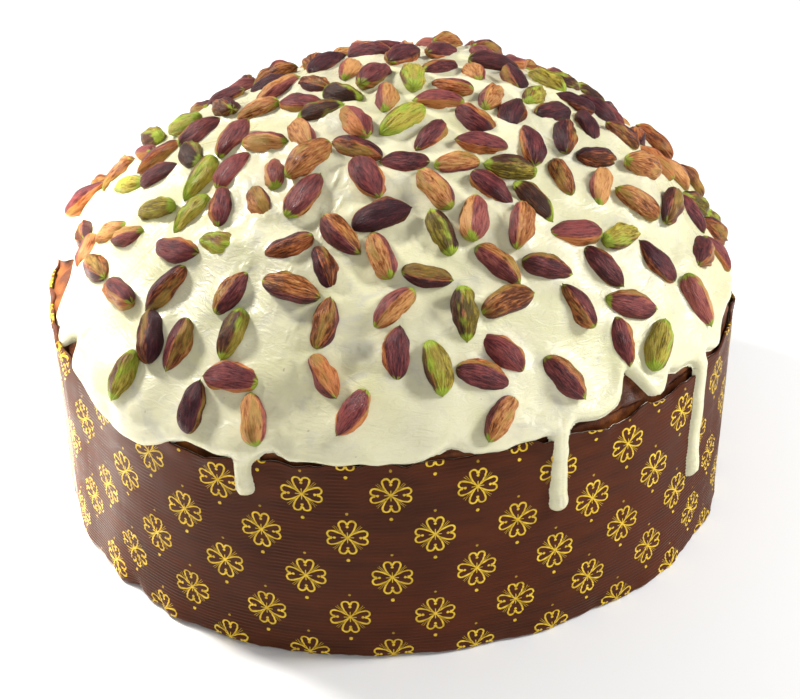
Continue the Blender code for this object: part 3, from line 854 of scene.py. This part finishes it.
def case_outside(angle, top):
    """Rings up the case's outer side: its rounded foot, then its ribbed wall."""
    ring = around(angle, CASE_RADIUS, 0.0)
    fold = FOOT_ROUNDING + bumps(ring, FOOT_ROUNDING_CELL, 53) * FOOT_ROUNDING_SPREAD
    rows = []
    for share in (0.0, 0.35, 0.7):
        turn = share * math.pi / 2
        height = fold * (1 - math.cos(turn))
        rows.append(around(angle, wall_shape(angle, height, top) - fold * (1 - math.sin(turn)), height))
    count = round(CASE_HEIGHT / RIB_PITCH) * ROWS_PER_RIB
    for row in range(count + 1):
        height = fold + (top - fold) * row / count
        rows.append(around(angle, wall_shape(angle, height, top), height))
    return rows


def case_inside(angle, top):
    """Rings down the case's inner side, plain but for the curl of its rim."""
    usual = case_radius(angle)
    rows = []
    for row in CASE_INNER_ROWS:
        height = CASE_PAPER + (top - CASE_PAPER) * row - 0.0001 * (row == 1.0)
        smooth = usual + (wall_shape(angle, height, top) - usual) * smooth_step((row - 0.5) * 2)
        rows.append(around(angle, np.minimum(smooth, usual + INNER_BULGE) - CASE_THIN, height))
    rows.append(around(angle, usual - CASE_THIN - INNER_CORNER, CASE_THIN))
    return rows


def make_case(material):
    """The paper case as one shell: ribbed wall, rounded foot and base, and its plain inner side."""
    angle = even_angles(CASE_COLUMNS)
    rag = layers(around(angle, CASE_RADIUS, 0.0), RIM_RAG)
    top = rim_height(angle) + sum_of_features(angle, RIM_TEARS) + rag
    rows = case_outside(angle, top) + case_inside(angle, top)
    return make_rings("case_wall", rows, (0, 0, 0), (0, 0, CASE_THIN), material)


class Nodes:
    """A material's nodes, made and joined by short calls."""

    def __init__(self, name):
        self.material = bpy.data.materials.new(name)
        self.material.use_nodes = True
        self.tree = self.material.node_tree
        self.shader = self.tree.nodes["Principled BSDF"]

    def feed(self, socket, value):
        if isinstance(value, bpy.types.NodeSocket):
            self.tree.links.new(value, socket)
        elif isinstance(value, tuple) and len(value) == 3 and len(socket.default_value) == 4:
            socket.default_value = (*value, 1.0)
        else:
            socket.default_value = value

    def set(self, name, value):
        self.feed(self.shader.inputs[name], value)

    def surface(self, colour, roughness, specular):
        self.set("Base Color", colour)
        self.set("Roughness", roughness)
        self.set("Specular IOR Level", specular)

    def add(self, kind, inputs, **settings):
        """The outputs of a new node, whose inputs are given by name or number."""
        node = self.tree.nodes.new("ShaderNode" + kind)
        for name, value in settings.items():
            setattr(node, name, value)
        for name, value in inputs.items():
            self.feed(node.inputs[name], value)
        return node.outputs

    def math(self, operation, *values, clamp=False):
        return self.add("Math", dict(enumerate(values)), operation=operation, use_clamp=clamp)[0]

    def minus(self, first, second):
        return self.math("SUBTRACT", first, second)

    def times(self, first, second, *added, clamp=False):
        """The first value times the second, plus a third where one is given."""
        return self.math("MULTIPLY_ADD" if added else "MULTIPLY", first, second, *added, clamp=clamp)

    def object_place(self):
        return self.add("TexCoord", {})["Object"]

    def split(self, vector):
        return self.add("SeparateXYZ", {0: vector})

    def attribute(self, name, output="Fac"):
        return self.add("Attribute", {}, attribute_name=name)[output]

    def stretch(self, place, scale):
        return self.add("Mapping", {"Scale": scale, "Vector": place})[0]

    def noise(self, place, scale, detail=3.0, roughness=0.55, distortion=0.0):
        shape = {"Scale": scale, "Detail": detail, "Roughness": roughness, "Distortion": distortion}
        return self.add("TexNoise", {"Vector": place, **shape})[0]

    def ramp(self, value, *stops):
        """A smooth run of colours: each stop is a place from 0 to 1 and a colour."""
        node = self.tree.nodes.new("ShaderNodeValToRGB")
        elements = node.color_ramp.elements
        while len(elements) < len(stops):
            elements.new(0.5)
        for element, (place, colour) in zip(elements, stops):
            element.position = place
            element.color = (*colour, 1.0)
        self.feed(node.inputs[0], value)
        return node.outputs[0]

    def span(self, value, low, high, first=0.0, last=1.0):
        """The value moved from one range to another, kept inside it, with soft ends."""
        ranges = {"From Min": low, "From Max": high, "To Min": first, "To Max": last, "Value": value}
        return self.add("MapRange", ranges, interpolation_type="SMOOTHSTEP")[0]

    def mix(self, share, first, second):
        return self.add("Mix", {0: share, 6: first, 7: second}, data_type="RGBA")[2]

    def bump(self, height, strength, distance):
        shape = {"Strength": strength, "Distance": distance, "Height": height}
        self.set("Normal", self.add("Bump", shape)[0])


# Petals in an eighth of the ornament, in millimetres: u runs out along a petal, w across it.
MILLIMETRES = 1000.0
PETAL_FOOT = (0.35, 0.26)
PETAL_TURN = (4.30, 2.33)
PETAL_BULGE = 0.36
SIDE_LINE, SIDE_GROWTH = 0.16, 0.10
LOBE_MIDDLE = (4.45, 1.28)
LOBE_RADIUS = 1.06
LOBE_LINE = 0.26
LOBE_CUT = (-0.30, -0.10)
CURL_MIDDLE = (3.60, 0.0)
CURL_RADIUS = 0.42
CURL_END = (4.80, 0.0)
CURL_LINE = 0.16
HAIR_FIRST = (1.60, 1.50)
HAIR_LAST = (4.05, 3.62)
HAIR_LINE = 0.045
RAY_REACH = 1.7
RAY_LINE = 0.12
STAR_RADIUS = 0.50
DOT_REACH = 7.95
DOT_RADII = (0.52, 0.40)
UPPER_DOT_INK = 0.55
INK_SOFTNESS = 0.065
FOLD_START = 40


def distance(nodes, u, w):
    squared = nodes.times(w, w, nodes.times(u, u))
    return nodes.math("SQRT", squared)


def from_point(nodes, u, w, point):
    return nodes.minus(u, point[0]), nodes.minus(w, point[1])


def ink_within(nodes, value, limit):
    """Ink where the value is under the limit, with a soft edge."""
    over = nodes.minus(value, limit)
    return nodes.span(over, INK_SOFTNESS, -INK_SOFTNESS)


def ink_of_segment(nodes, u, w, first, last, half_width):
    """Ink along a straight stroke."""
    run = (last[0] - first[0], last[1] - first[1])
    length = run[0] ** 2 + run[1] ** 2
    from_u, from_w = from_point(nodes, u, w, first)
    share = nodes.times(from_u, run[0] / length)
    share = nodes.times(from_w, run[1] / length, share, clamp=True)
    off_u = nodes.times(share, -run[0], from_u)
    off_w = nodes.times(share, -run[1], from_w)
    return ink_within(nodes, distance(nodes, off_u, off_w), half_width)


def ink_of_dot(nodes, u, w, middle, radius):
    return ink_within(nodes, distance(nodes, *from_point(nodes, u, w, middle)), radius)


def ink_of_side(nodes, u, w):
    """Ink along a petal's bulging side, from its foot to where the lobe begins."""
    run = (PETAL_TURN[0] - PETAL_FOOT[0], PETAL_TURN[1] - PETAL_FOOT[1])
    share = nodes.math("DIVIDE", nodes.minus(u, PETAL_FOOT[0]), run[0])
    bulge = nodes.times(nodes.minus(1.0, share), share)
    side = nodes.times(share, run[1], PETAL_FOOT[1])
    side = nodes.times(bulge, 4 * PETAL_BULGE, side)
    slant = math.cos(math.atan2(run[1], run[0]))
    off = nodes.times(nodes.math("ABSOLUTE", nodes.minus(w, side)), slant)
    width = nodes.times(share, SIDE_GROWTH, SIDE_LINE)
    inside = nodes.times(nodes.span(share, -0.06, 0.0), nodes.span(share, 1.05, 1.0))
    return nodes.times(ink_within(nodes, off, width), inside)


def ink_of_lobe(nodes, u, w):
    """Ink along the round end of a petal, which curls in towards its axis."""
    from_u, from_w = from_point(nodes, u, w, LOBE_MIDDLE)
    off = nodes.math("ABSOLUTE", nodes.minus(distance(nodes, from_u, from_w), LOBE_RADIUS))
    return nodes.times(ink_within(nodes, off, LOBE_LINE), nodes.span(from_u, *LOBE_CUT))


def ink_of_ornament(nodes, p, q):
    """A four-petal ornament at the origin of p and q, which are millimetres across and up."""
    side_p = nodes.math("ABSOLUTE", p)
    side_q = nodes.math("ABSOLUTE", q)
    u = nodes.math("MAXIMUM", side_p, side_q)
    w = nodes.math("MINIMUM", side_p, side_q)
    strokes = [
        ink_of_side(nodes, u, w),
        ink_of_lobe(nodes, u, w),
        ink_of_dot(nodes, u, w, CURL_MIDDLE, CURL_RADIUS),
        ink_of_segment(nodes, u, w, CURL_MIDDLE, CURL_END, CURL_LINE),
        ink_of_segment(nodes, u, w, HAIR_FIRST, HAIR_LAST, HAIR_LINE),
        ink_of_segment(nodes, u, w, (0.0, 0.0), (RAY_REACH, 0.0), RAY_LINE),
        ink_of_dot(nodes, u, w, (0.0, 0.0), STAR_RADIUS),
        ink_of_dot(nodes, q, p, (-DOT_REACH, 0.0), DOT_RADII[0]),
        nodes.times(ink_of_dot(nodes, q, p, (DOT_REACH, 0.0), DOT_RADII[1]), UPPER_DOT_INK),
    ]
    ink = strokes[0]
    for stroke in strokes[1:]:
        ink = nodes.math("MAXIMUM", ink, stroke)
    return ink


def fold(nodes, value, middle, pitch):
    """The distance from the nearest of many even places, signed."""
    moved = nodes.minus(value, middle - pitch / 2)
    along = nodes.math("MODULO", nodes.math("ADD", moved, FOLD_START * pitch), pitch)
    return nodes.minus(along, pitch / 2)


def print_ink(nodes, place):
    """Ink of both staggered sets of ornaments over the wall."""
    x, y, z = nodes.split(place)
    angle = nodes.math("ARCTAN2", x, nodes.times(y, -1.0))
    across = nodes.times(angle, CASE_RADIUS * MILLIMETRES)
    up = nodes.times(z, MILLIMETRES)
    up = nodes.minus(up, nodes.span(angle, *PRINT_LIFT_ANGLES, 0.0, PRINT_LIFT))
    pitch = PRINT_PITCH * CASE_RADIUS * MILLIMETRES
    start = PRINT_ANGLE * CASE_RADIUS * MILLIMETRES
    inks = []
    for shift in (0.0, 0.5):
        p = fold(nodes, across, start + shift * pitch, pitch)
        level = (PRINT_LEVEL + shift * PRINT_PITCH_UP) * MILLIMETRES
        q = fold(nodes, up, level, PRINT_PITCH_UP * MILLIMETRES)
        inks.append(ink_of_ornament(nodes, p, q))
    return nodes.math("MAXIMUM", *inks)


def paper_material():
    nodes = Nodes("printed_paper")
    place = nodes.object_place()
    streaks = nodes.noise(nodes.stretch(place, (1, 1, 5)), 60, detail=5)
    clouds = nodes.noise(place, 18, detail=3)
    brown = nodes.ramp(streaks, (0.30, (0.046, 0.0125, 0.0045)), (0.70, (0.082, 0.0215, 0.0075)))
    brown = nodes.mix(nodes.span(clouds, 0.4, 0.7, 0.0, 0.45), brown, (0.098, 0.022, 0.008))
    glints = nodes.noise(place, 420, detail=2)
    gold = nodes.ramp(glints, (0.35, (0.56, 0.36, 0.025)), (0.65, (0.82, 0.56, 0.055)))
    ink = print_ink(nodes, place)
    worn = nodes.span(nodes.noise(place, 900, detail=2), 0.30, 0.42, 0.72, 1.0)
    flatness = nodes.math("ABSOLUTE", nodes.split(nodes.add("NewGeometry", {})["True Normal"])[2])
    upright = nodes.span(flatness, 0.995, 0.98)
    ink = nodes.times(nodes.times(ink, worn), upright)
    nodes.surface(nodes.mix(ink, brown, gold), nodes.span(streaks, 0.3, 0.7, 0.42, 0.56), 0.10)
    nodes.set("Sheen Weight", 0.70)
    nodes.set("Sheen Roughness", 0.17)
    nodes.set("Sheen Tint", (1.0, 0.88, 0.74))
    nodes.bump(nodes.noise(nodes.stretch(place, (1, 1, 4)), 900, detail=3), 0.25, 0.0002)
    return nodes.material


def crust_material():
    nodes = Nodes("baked_crust")
    place = nodes.object_place()
    blotches = nodes.noise(place, 90, detail=6, roughness=0.62)
    colour = nodes.ramp(
        blotches,
        (0.30, (0.020, 0.006, 0.003)),
        (0.50, (0.075, 0.020, 0.006)),
        (0.66, (0.230, 0.068, 0.012)),
        (0.84, (0.420, 0.150, 0.030)),
    )
    nodes.surface(colour, nodes.span(blotches, 0.3, 0.7, 0.35, 0.65), 0.20)
    nodes.bump(nodes.noise(place, 1100, detail=5), 0.6, 0.0004)
    return nodes.material


def icing_material():
    nodes = Nodes("ivory_icing")
    place = nodes.object_place()
    clouds = nodes.noise(place, 26, detail=4, distortion=0.6)
    thin = nodes.noise(place, 70, detail=4, roughness=0.6, distortion=1.2)
    colour = nodes.ramp(
        clouds,
        (0.30, (0.650, 0.620, 0.380)),
        (0.52, (0.705, 0.673, 0.470)),
        (0.72, (0.635, 0.622, 0.345)),
    )
    grey = nodes.span(thin, 0.53, 0.68, 0.0, 0.62)
    colour = nodes.mix(grey, colour, (0.540, 0.525, 0.425))
    specks = nodes.span(nodes.noise(place, 520, detail=1), 0.80, 0.84, 0.0, 0.6)
    colour = nodes.mix(specks, colour, (0.35, 0.27, 0.17))
    nodes.surface(colour, nodes.span(thin, 0.3, 0.7, 0.24, 0.40), 0.35)
    nodes.set("Subsurface Weight", 0.25)
    nodes.set("Subsurface Radius", (1.0, 0.85, 0.5))
    nodes.set("Subsurface Scale", 0.003)
    streaks = nodes.noise(nodes.stretch(place, (1, 1, 3)), 210, detail=4, distortion=1.5)
    nodes.bump(streaks, 0.50, 0.0006)
    return nodes.material


# Kernel colours: dark, middle and light of the smooth skin and of the wrinkled side, then the rest.
SKIN_COLOURS = {
    "kernel_maroon": ((0.034, 0.008, 0.012), (0.100, 0.021, 0.024), (0.270, 0.062, 0.056)),
    "kernel_tan": ((0.052, 0.012, 0.014), (0.165, 0.036, 0.036), (0.360, 0.105, 0.080)),
    "kernel_green": ((0.036, 0.012, 0.007), (0.110, 0.036, 0.016), (0.260, 0.120, 0.030)),
}
SIDE_COLOURS = {
    "kernel_maroon": ((0.070, 0.016, 0.005), (0.290, 0.074, 0.021), (0.560, 0.205, 0.066)),
    "kernel_tan": ((0.096, 0.026, 0.008), (0.355, 0.118, 0.033), (0.600, 0.300, 0.105)),
    "kernel_green": ((0.090, 0.060, 0.008), (0.270, 0.200, 0.020), (0.520, 0.420, 0.070)),
}
SKIN_STOPS = (0.36, 0.52, 0.70)
SIDE_STOPS = (0.36, 0.48, 0.64)
# The keel's lighter orange: partly the skin's own tan edge, partly a painted highlight along the ridge.
KEEL_TAN_AND_HIGHLIGHT = (0.420, 0.120, 0.055)
OLIVE = (0.270, 0.200, 0.036)
GREEN_DARK = (0.160, 0.220, 0.014)
GREEN_LIGHT = (0.430, 0.540, 0.055)
GREEN_SHARES = {"kernel_maroon": (0.95, 1.25), "kernel_tan": (0.72, 1.1), "kernel_green": (0.15, 0.65)}


def kernel_material(kind):
    nodes = Nodes(kind)
    grain = nodes.attribute("grain", "Vector")
    face = nodes.attribute("face")
    luck = nodes.attribute("luck")
    fine = nodes.noise(nodes.stretch(grain, (1, 2.0, 1)), 900, detail=5, roughness=0.65)
    coarse = nodes.noise(grain, 340, detail=4)
    mottled = nodes.times(coarse, 0.5, nodes.times(fine, 0.9, -0.2))
    lucky = nodes.times(luck, 0.30, nodes.minus(mottled, 0.15))
    skin_colour = nodes.ramp(lucky, *zip(SKIN_STOPS, SKIN_COLOURS[kind]))
    side_colour = nodes.ramp(lucky, *zip(SIDE_STOPS, SIDE_COLOURS[kind]))
    olive = nodes.span(nodes.noise(grain, 170, detail=3), 0.50, 0.64, 0.0, 0.60)
    side_colour = nodes.mix(olive, side_colour, OLIVE)
    edge = nodes.times(nodes.minus(coarse, 0.5), 1.1, face)
    colour = nodes.mix(nodes.span(edge, 0.35, 0.65), side_colour, skin_colour)
    # Lighter orange along the keel: partly the skin's own tan edge, partly a painted highlight on the ridge.
    ridge = nodes.times(nodes.minus(fine, 0.5), 1.4, nodes.attribute("ridge"))
    colour = nodes.mix(nodes.span(ridge, 0.75, 1.15, 0.0, 0.75), colour, KEEL_TAN_AND_HIGHLIGHT)
    low, high = GREEN_SHARES[kind]
    greenness = nodes.times(nodes.minus(coarse, 0.5), 1.6, nodes.attribute("green"))
    greenness = nodes.times(luck, 0.35, greenness)
    green = nodes.ramp(fine, (0.35, GREEN_DARK), (0.65, GREEN_LIGHT))
    colour = nodes.mix(nodes.span(greenness, low, high), colour, green)
    nodes.surface(colour, nodes.span(fine, 0.3, 0.7, 0.26, 0.46), 0.18)
    nodes.bump(fine, 1.0, 0.0005)
    return nodes.material


def make_floor():
    bpy.ops.mesh.primitive_plane_add(size=6.0, location=(0, 0, 0))
    floor = bpy.context.object
    floor.name = "floor"
    nodes = Nodes("floor_paint")
    nodes.set("Base Color", (0.86, 0.86, 0.86))
    nodes.set("Roughness", 0.9)
    floor.data.materials.append(nodes.material)


def add_light(name, place, size, power, colour):
    data = bpy.data.lights.new(name, "AREA")
    data.shape = "DISK"
    data.size = size
    data.energy = power
    data.color = colour
    light = bpy.data.objects.new(name, data)
    light.location = place
    light.rotation_euler = (CAMERA_TARGET - Vector(place)).to_track_quat("-Z", "Y").to_euler()
    scene.collection.objects.link(light)
    return light


def light_scene():
    world = bpy.data.worlds.new("studio")
    world.use_nodes = True
    background = world.node_tree.nodes["Background"]
    background.inputs["Color"].default_value = (1.0, 1.0, 1.0, 1.0)
    background.inputs["Strength"].default_value = WORLD_STRENGTH
    scene.world = world
    scene.view_settings.view_transform = "Standard"
    add_light("key", (-0.62, 0.32, 0.66), 0.16, 10.6, (1.0, 0.98, 0.94))
    add_light("right_light", (0.75, -0.08, 0.58), 0.24, 8.0, (1.0, 1.0, 1.0))
    add_light("front_fill", (0.05, -1.10, 0.50), 0.9, 3.0, (1.0, 1.0, 1.0))
    glow = add_light("table_glow", (-0.20, 0.00, 0.20), 0.16, 1.2, (1.0, 0.96, 0.88))
    glow.rotation_euler = (0.0, 0.0, 0.0)
    glow.data.spread = GLOW_SPREAD


def make_camera():
    """The camera at the photograph's angle, turned a little about its own axis."""
    data = bpy.data.cameras.new("camera")
    data.lens = LENS
    data.sensor_width = SENSOR_WIDTH
    camera = bpy.data.objects.new("camera", data)
    turn = Matrix.Rotation(math.pi / 2 - CAMERA_RISE, 4, "X") @ Matrix.Rotation(CAMERA_ROLL, 4, "Z")
    back = Matrix.Translation((0, 0, CAMERA_DISTANCE))
    camera.matrix_world = Matrix.Translation(CAMERA_TARGET) @ turn @ back
    scene.collection.objects.link(camera)
    scene.camera = camera


def dress(piece, slot, *nodes):
    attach(piece, "root")
    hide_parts(*nodes)


def main():
    make_camera()
    light_scene()
    make_floor()
    kernels = scatter_kernels()
    for kernel in kernels:
        kernel["matrix"] = kernel_matrix(kernel)
    dress(make_case(paper_material()), "case_paper", "paper_case")
    dress(make_crust(crust_material()), "crust", "cake")
    dress(make_icing(kernels, icing_material()), "icing", "icing")
    for kind, _ in KIND_SHARES:
        dress(make_kernels(kernels, kind, kernel_material(kind)), "kernels", "icing")


main()
